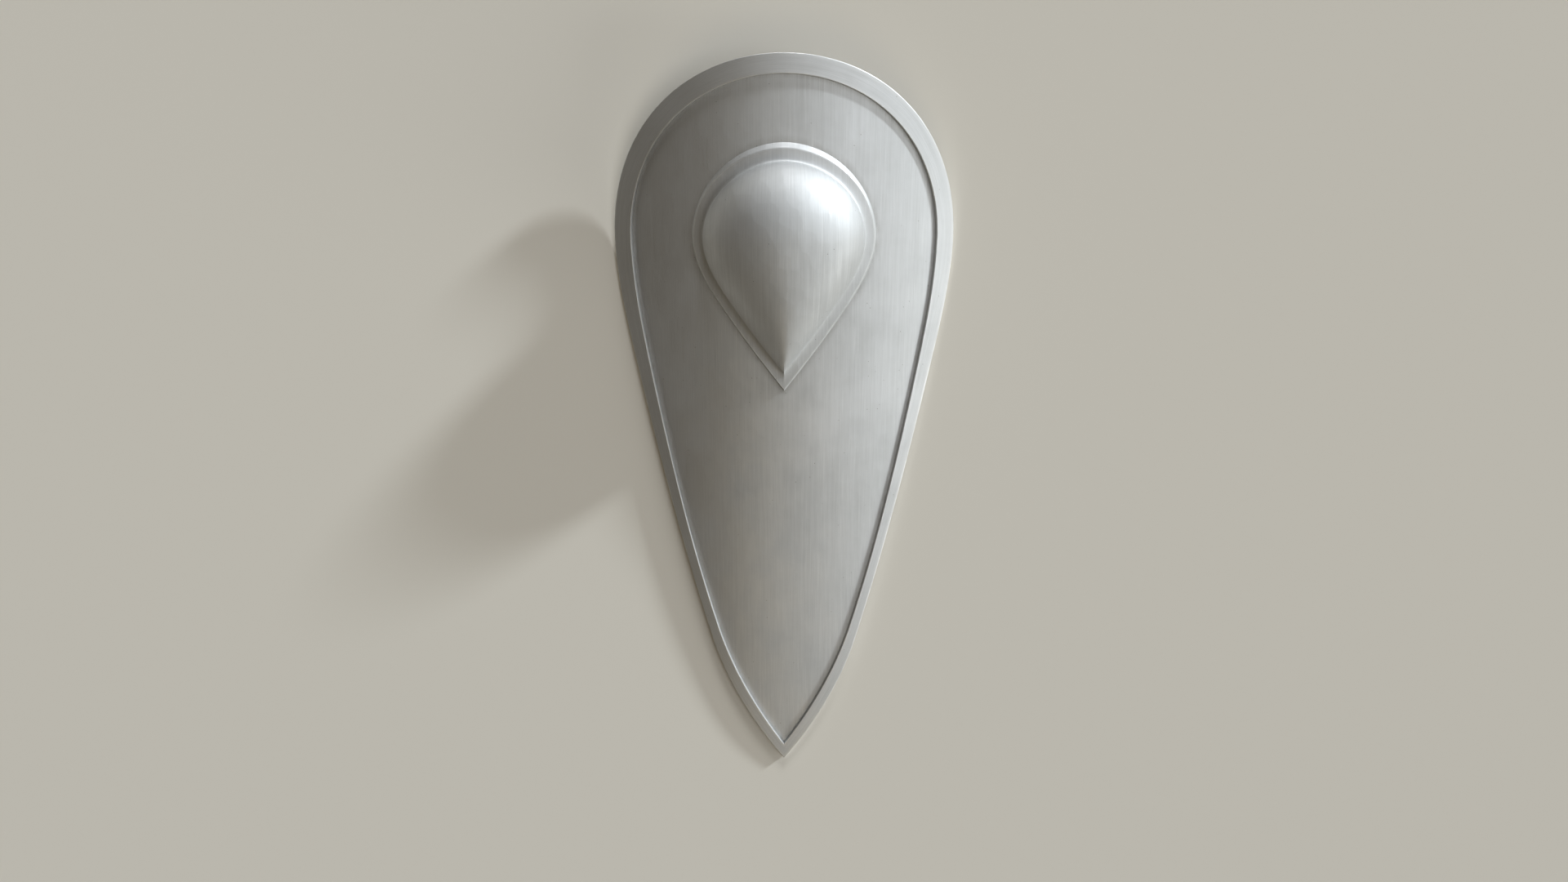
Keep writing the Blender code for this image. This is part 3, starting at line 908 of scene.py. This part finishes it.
# %% Brown strap leather and waxed thread
LEATHER_DARK = (0.060, 0.028, 0.014)
LEATHER_BROWN = (0.165, 0.078, 0.036)
LEATHER_PALE = (0.30, 0.165, 0.085)
LEATHER_ROUGH = (0.48, 0.62)
MOTTLE = Pattern(60.0, 6.0, 0.6, 0.35, 0.65)
CREASES = Pattern(210.0, 4.0, 0.7, 0.40, 0.70)
CREASE_STRETCH = (1.0, 0.25, 1.0)
BEND_PALE = (0.1, 0.6)
EDGE_DARK = 0.85
EDGE_SHINE = 0.16
PORES_PER_METRE = 900.0
PORE_REACH = 0.25
LEATHER_RAISED = {"pores": 0.00007, "creases": 0.00024}

THREAD_PALE = (0.52, 0.44, 0.31)
THREAD_DARK = (0.30, 0.235, 0.15)
THREAD_ROUGH = (0.45, 0.65)
TWIST = Pattern(1400.0, 3.0, 0.6, 0.35, 0.65)
TWIST_SHINE = (0.3, 0.7)
THREAD_RAISED = {"twist": 0.00014}


def strap_leather():
    material, tree, shader = shader_of("strap_leather")
    place = add(tree, "ShaderNodeTexCoord").outputs["Object"]
    edge, bend = carried(tree, "strap_edge"), carried(tree, "strap_bend")
    mottle = pattern(tree, place, MOTTLE)
    cells = add(tree, "ShaderNodeTexVoronoi", {
        "Vector": place, "Scale": PORES_PER_METRE,
    }, feature="DISTANCE_TO_EDGE")
    pores = spread(tree, cells.outputs["Distance"], 0.0, PORE_REACH)
    creases = noise(tree, place, CREASES, CREASE_STRETCH)
    colour = tint(tree, mottle, LEATHER_BROWN, LEATHER_DARK)
    folds = spread(tree, creases, CREASES.low, CREASES.high, *BEND_PALE)
    colour = tint(tree, calculate(tree, "MULTIPLY", bend, folds), colour, LEATHER_PALE)
    colour = tint(tree, calculate(tree, "MULTIPLY", edge, EDGE_DARK), colour, LEATHER_DARK)
    rough = spread(tree, mottle, 0.0, 1.0, *LEATHER_ROUGH)
    shine = calculate(tree, "MULTIPLY", edge, EDGE_SHINE)
    coat(tree, shader, colour, calculate(tree, "SUBTRACT", rough, shine))
    bumped(tree, shader, {"pores": pores, "creases": creases}, LEATHER_RAISED)
    return material


def waxed_thread():
    material, tree, shader = shader_of("waxed_thread")
    place = add(tree, "ShaderNodeTexCoord").outputs["Object"]
    twist = noise(tree, place, TWIST)
    colour = tint(tree, spread(tree, twist, TWIST.low, TWIST.high), THREAD_PALE, THREAD_DARK)
    coat(tree, shader, colour, spread(tree, twist, *TWIST_SHINE, *THREAD_ROUGH))
    bumped(tree, shader, {"twist": twist}, THREAD_RAISED)
    return material


leather, thread = strap_leather(), waxed_thread()
print("soft finishes:", leather.name, thread.name)

# %% [markdown]
# ## The straps
#
# Each strap is two layers of 2 mm leather sewn together. Its ends lie on the plate as round
# cornered tabs under the rivets, and between them it stands off in the bow that an arm gives
# it. The bow is one smooth curve that leaves the plate without a kink. A rounded section runs
# along that curve, and it narrows at both ends to round the tab's corners. The straps have a UV
# map in metres too, along and across, for tooling or dye that should follow the bow.

# %% Where the straps sit
LEATHER_THICK = 0.004
ARM_STRAP_WIDTH = 0.040
HAND_STRAP_WIDTH = 0.028
ARM_LOOP_DEPTH = 0.055
HAND_LOOP_DEPTH = 0.042
TAB_PAST_RIVET = 0.012
STRAP_EDGE_TO_RIVET = 0.009
LOOP_LIFT = 0.70
LOOP_SHOULDER = 0.95
HAND_STRAP_UP = 0.73
ARM_STRAP_DOWN = 0.37
RIVET_HEAD_R = 0.0048
HEAD_CLEAR = 0.004
CAD_BOSS_ARC_STEPS = 14
CAD_BOSS_TAPER_STEPS = 13

StrapPlace = namedtuple("StrapPlace", "along width depth half_span rivets")


def strap_place(along, width, depth):
    """The strap's half span and rivets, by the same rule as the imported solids."""
    narrowing = dome.taper[-1][2] * dome.half / (dome.widest - dome.point)
    mitre = sqrt(1.0 + narrowing**2) / narrowing
    inner_foot = shrink(dome, BOSS_SHEET, BOSS_SHEET, BOSS_SHEET * mitre)
    spread_out = width / 2 - STRAP_EDGE_TO_RIVET
    line = half_outline(inner_foot, CAD_BOSS_ARC_STEPS, CAD_BOSS_TAPER_STEPS)[::-1]
    edges = (along - spread_out - RIVET_HEAD_R, along + spread_out + RIVET_HEAD_R)
    half_span = min(np.interp(edges, line[:, 1], line[:, 0])) - RIVET_HEAD_R - HEAD_CLEAR
    offsets = (-spread_out, spread_out)
    rivets = [(side * half_span, along + offset) for side in (-1, 1) for offset in offsets]
    return StrapPlace(along, width, depth, half_span, rivets)


arm_along = dome.widest - ARM_STRAP_DOWN * (dome.widest - dome.point)
hand_along = dome.widest + HAND_STRAP_UP * (dome.top - dome.widest)
arm_place = strap_place(arm_along, ARM_STRAP_WIDTH, ARM_LOOP_DEPTH)
hand_place = strap_place(hand_along, HAND_STRAP_WIDTH, HAND_LOOP_DEPTH)
print("strap spans in mm:", in_mm(2 * arm_place.half_span), in_mm(2 * hand_place.half_span))

# %% Make the straps
BOW_STEPS = 48
TAB_STEPS = 10
TAB_CORNER = 0.009
EDGE_ROUND = 0.0013
EDGE_STEPS = 3
FACE_STEPS = 6


def strap_frame(place):
    """The strap's plate side as (across, depth) rows, each row's way outwards and its reach."""
    inner, outer = place.half_span - TAB_PAST_RIVET, place.half_span + TAB_PAST_RIVET
    tab = np.column_stack((np.linspace(-outer, -inner, TAB_STEPS, endpoint=False), np.zeros(TAB_STEPS)))
    s = np.linspace(0.0, 1.0, BOW_STEPS)[:, None]
    start, lift = np.array((-inner, 0.0)), np.array((-inner * LOOP_LIFT, 0.0))
    shoulder, crown = np.array((-inner * LOOP_SHOULDER, place.depth)), np.array((0.0, place.depth))
    rise = (1 - s) ** 3 * start + 3 * (1 - s) ** 2 * s * lift + 3 * (1 - s) * s**2 * shoulder + s**3 * crown
    half_line = np.vstack((tab, rise))
    line = np.vstack((half_line, half_line[-2::-1] * (-1.0, 1.0)))
    run = np.gradient(line, axis=0)
    run /= np.linalg.norm(run, axis=1)[:, None]
    return line, np.column_stack((-run[:, 1], run[:, 0])), reach_along(line)


def rounded_section(half_width):
    """The strap's section as (along, thickness, edge) rows: a flat bar with rounded edges."""
    ends, middle = half_width - EDGE_ROUND, LEATHER_THICK / 2
    places = []
    for turn, side, level in ((0.0, 1, 1), (90.0, -1, 1), (180.0, -1, -1), (270.0, 1, -1)):
        for angle in np.radians(np.linspace(turn, turn + 90.0, EDGE_STEPS + 1)):
            height = middle + level * (middle - EDGE_ROUND) + EDGE_ROUND * sin(angle)
            places.append((side * ends + EDGE_ROUND * cos(angle), height, 1.0))
        if side == level:
            for share in np.linspace(1.0, -1.0, FACE_STEPS + 1)[1:-1]:
                places.append((side * ends * share, places[-1][1], 0.0))
    return places


def strap_point(place, line_row, away_row, along, thick):
    """A place on the strap, `thick` away from its plate side."""
    across, depth = line_row + thick * away_row
    return on_shield(across, place.along + along, BEHIND - depth)


def make_strap(name, place):
    line, away, reach = strap_frame(place)
    form = bmesh.new()
    sheet = form.loops.layers.uv.new("sheet")
    edge_layer = form.verts.layers.float.new("strap_edge")
    bend_layer = form.verts.layers.float.new("strap_bend")
    turn = np.unwrap(np.arctan2(away[:, 1], away[:, 0]))
    bend = np.abs(np.gradient(turn, reach))
    bend /= bend.max()
    drawn, rows = {}, []
    for line_row, away_row, far, bent in zip(line, away, reach, bend):
        left = min(far, reach[-1] - far, TAB_CORNER)
        half_width = place.width / 2 - TAB_CORNER + sqrt(TAB_CORNER**2 - (TAB_CORNER - left) ** 2)
        row = []
        for along, thick, edge in rounded_section(half_width):
            vert = form.verts.new(strap_point(place, line_row, away_row, along, thick))
            vert[edge_layer], vert[bend_layer] = edge, bent
            drawn[vert] = (far, along)
            row.append(vert)
        rows.append(row)
    for one, two in zip(rows, rows[1:]):
        join_rows(form, one, two)
    form.faces.new(rows[0][::-1])
    form.faces.new(rows[-1])
    bmesh.ops.recalc_face_normals(form, faces=form.faces)
    for face in form.faces:
        for corner in face.loops:
            corner[sheet].uv = drawn[corner.vert]
    return finished(name, form, leather)


arm_strap = make_strap("arm_strap_leather", arm_place)
stands_for(arm_strap, "strap_leather", "arm_strap")
hand_strap = make_strap("hand_strap_leather", hand_place)
stands_for(hand_strap, "strap_leather", "hand_strap")

# %% [markdown]
# ## Stitches
#
# A saddler sews the two layers with an even row of stitches along each edge. Stitches repeat
# along a path, so Geometry Nodes make them: the tree turns a guide line into points at an even
# pitch and puts one short, thick thread on each. The guide lines come from the strap's own
# surface, so the stitches follow the bow.

# %% Helpers for trees that grow pieces
def growing_tree(name, inputs, output):
    """A Geometry Nodes tree, the identifiers of its inputs by name, and its input sockets."""
    tree = bpy.data.node_groups.new(name, "GeometryNodeTree")
    known = {}
    for title, kind in inputs.items():
        made = tree.interface.new_socket(name=title, in_out="INPUT", socket_type="NodeSocket" + kind)
        known[title] = made.identifier
    tree.interface.new_socket(name=output, in_out="OUTPUT", socket_type="NodeSocketGeometry")
    return tree, known, tree.nodes.new("NodeGroupInput").outputs


def end_tree(tree, rows, material):
    """Makes the instances real and coats them."""
    real = add(tree, "GeometryNodeRealizeInstances", {"Geometry": rows.outputs[0]})
    coated = add(tree, "GeometryNodeSetMaterial", {"Geometry": real.outputs[0], "Material": material})
    tree.links.new(coated.outputs[0], tree.nodes.new("NodeGroupOutput").inputs[0])


def grown(name, mesh, tree, values):
    """Runs a tree once on a mesh and keeps the result as a plain mesh object."""
    piece = placed(name, mesh)
    modifier = piece.modifiers.new("grow", "NODES")
    modifier.node_group = tree
    for identifier, value in values.items():
        modifier[identifier] = value
    graph = bpy.context.evaluated_depsgraph_get()
    result = bpy.data.meshes.new_from_object(piece.evaluated_get(graph), depsgraph=graph)
    piece.modifiers.clear()
    piece.data = result
    result.name = name
    print(name, "has", len(result.polygons), "faces")
    return piece


print("growing helpers ready")

# %% Sew the straps
STITCH_PITCH = 0.0042
STITCH_LENGTH = 0.0030
STITCH_SIDES = 8
STITCH_RINGS = 6
THREAD_RADIUS = 0.00045
STITCH_FROM_EDGE = 0.0038
STITCH_SUNK = 0.00015


def stitch_tree():
    """Geometry Nodes that put a stitch at every pitch along each guide line."""
    tree, known, given = growing_tree("stitch_rows", {
        "Guides": "Geometry", "Pitch": "Float", "Stitch length": "Float",
        "Thread radius": "Float", "Thread": "Material",
    }, "Stitches")
    path = add(tree, "GeometryNodeMeshToCurve", {"Mesh": given["Guides"]})
    points = add(tree, "GeometryNodeCurveToPoints", {
        "Curve": path.outputs[0], "Length": given["Pitch"],
    }, mode="LENGTH")
    ball = add(tree, "GeometryNodeMeshUVSphere", {
        "Segments": STITCH_SIDES, "Rings": STITCH_RINGS, "Radius": 1.0,
    })
    smooth = add(tree, "GeometryNodeSetShadeSmooth", {"Geometry": ball.outputs["Mesh"]})
    half_length = calculate(tree, "DIVIDE", given["Stitch length"], 2.0)
    size = add(tree, "ShaderNodeCombineXYZ", {
        0: given["Thread radius"], 1: given["Thread radius"], 2: half_length,
    })
    rows = add(tree, "GeometryNodeInstanceOnPoints", {
        "Points": points.outputs["Points"], "Instance": smooth.outputs[0],
        "Rotation": points.outputs["Rotation"], "Scale": size.outputs[0],
    })
    end_tree(tree, rows, given["Thread"])
    return tree, known


def stitch_guides(place):
    """Four guide lines on a strap: along both edges, on its outer and inner face."""
    line, away, reach = strap_frame(place)
    places, edges = [], []
    for thick in (LEATHER_THICK - STITCH_SUNK, STITCH_SUNK):
        for side in (-1, 1):
            clear = TAB_CORNER if thick > LEATHER_THICK / 2 else 2 * TAB_PAST_RIVET
            kept = [i for i, far in enumerate(reach) if clear <= far <= reach[-1] - clear]
            along = side * (place.width / 2 - STITCH_FROM_EDGE)
            start = len(places)
            places += [lying @ strap_point(place, line[i], away[i], along, thick) for i in kept]
            edges += [(start + i, start + i + 1) for i in range(len(kept) - 1)]
    return places, edges


sewing, sewing_inputs = stitch_tree()
for name, place in (("arm_strap_stitches", arm_place), ("hand_strap_stitches", hand_place)):
    places, edges = stitch_guides(place)
    guide = bpy.data.meshes.new(name + "_guide")
    guide.from_pydata(places, edges, [])
    stitches = grown(name, guide, sewing, {
        sewing_inputs["Pitch"]: STITCH_PITCH,
        sewing_inputs["Stitch length"]: STITCH_LENGTH,
        sewing_inputs["Thread radius"]: THREAD_RADIUS,
        sewing_inputs["Thread"]: thread,
    })
    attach(stitches, "root")

# %% [markdown]
# ## Rivets
#
# Eight rivets hold the straps. Each is turned about its own axis: a low round head in front,
# under the hollow boss, a shank, and a tail hammered into a wider button on the leather. They
# repeat, so one is modelled and Geometry Nodes put it at every place, turned to stand square to
# the rolled plate.

# %% Model one rivet
RIVET_SHANK_R = 0.0020
RIVET_HEAD_HEIGHT = 0.0022
RIVET_TAIL_R = 0.0045
RIVET_TAIL_HEIGHT = 0.0016
RIVET_TURNS = 32
CAP_STEPS = 6


def cap(radius, base, height):
    """A rounded cap as (radius, height) rows, from its edge to just short of its middle."""
    angles = np.linspace(0.0, pi / 2, CAP_STEPS, endpoint=False)
    return [(radius * cos(a), base + height * sin(a)) for a in angles]


def one_rivet():
    tail = BEHIND - LEATHER_THICK - SEAT
    head = cap(RIVET_HEAD_R, SEAT, RIVET_HEAD_HEIGHT)
    button = cap(RIVET_TAIL_R, tail, -RIVET_TAIL_HEIGHT)
    profile = head[::-1] + [(RIVET_SHANK_R, SEAT), (RIVET_SHANK_R, tail)] + button
    form = bmesh.new()
    turns = [2 * pi * i / RIVET_TURNS for i in range(RIVET_TURNS)]
    rows = [[form.verts.new((0.0, 0.0, SEAT + RIVET_HEAD_HEIGHT))]]
    for radius, height in profile:
        rows.append([form.verts.new((radius * cos(a), radius * sin(a), height)) for a in turns])
    rows.append([form.verts.new((0.0, 0.0, tail - RIVET_TAIL_HEIGHT))])
    for one, two in zip(rows, rows[1:]):
        join_rows(form, one, two)
    bmesh.ops.recalc_face_normals(form, faces=form.faces)
    mesh = bpy.data.meshes.new("rivet_pattern")
    form.to_mesh(mesh)
    form.free()
    mesh.shade_smooth()
    mesh.set_sharp_from_angle(angle=CRISP)
    return bpy.data.objects.new("rivet_pattern", mesh)


rivet = one_rivet()
print("one rivet has", len(rivet.data.polygons), "faces")

# %% Set the rivets
def rivet_tree():
    """Geometry Nodes that put the rivet at each place, turned by the place's own angle."""
    tree, known, given = growing_tree("rivet_row", {
        "Places": "Geometry", "Rivet": "Object", "Metal": "Material",
    }, "Rivets")
    shape = add(tree, "GeometryNodeObjectInfo", {"Object": given["Rivet"]})
    roll = add(tree, "GeometryNodeInputNamedAttribute", {"Name": "roll"}, data_type="FLOAT")
    angles = add(tree, "ShaderNodeCombineXYZ", {1: roll.outputs["Attribute"]})
    turn = add(tree, "FunctionNodeEulerToRotation", {0: angles.outputs[0]})
    rows = add(tree, "GeometryNodeInstanceOnPoints", {
        "Points": given["Places"], "Instance": shape.outputs["Geometry"], "Rotation": turn.outputs[0],
    })
    end_tree(tree, rows, given["Metal"])
    return tree, known


spots = arm_place.rivets + hand_place.rivets
spot_mesh = bpy.data.meshes.new("rivet_places")
spot_mesh.from_pydata([on_shield(across, along, 0.0) for across, along in spots], [], [])
roll = spot_mesh.attributes.new("roll", "FLOAT", "POINT")
roll.data.foreach_set("value", [across / CURVE_RADIUS for across, _ in spots])
riveting, riveting_inputs = rivet_tree()
rivets = grown("strap_rivets", spot_mesh, riveting, {
    riveting_inputs["Rivet"]: rivet,
    riveting_inputs["Metal"]: steels["rivet_steel"],
})
rivets.data.transform(lying)
bpy.data.objects.remove(rivet)
stands_for(rivets, "rivet_steel", *[f"strap_rivet_{number}" for number in range(1, len(spots) + 1)])

# %% [markdown]
# ## The floor under the lowest place
#
# The dressed shield must be as large as the imported one. Its smooth outlines bulge a fraction of
# a millimetre past the coarse ones, so the floor is lowered to its lowest place.

# %% Measure and finish
low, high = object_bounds()
drop = min(0.0, low.z)
floor_mesh.transform(Matrix.Translation((0.0, 0.0, drop)))
print("floor lowered in mm by", in_mm(-drop, 3))
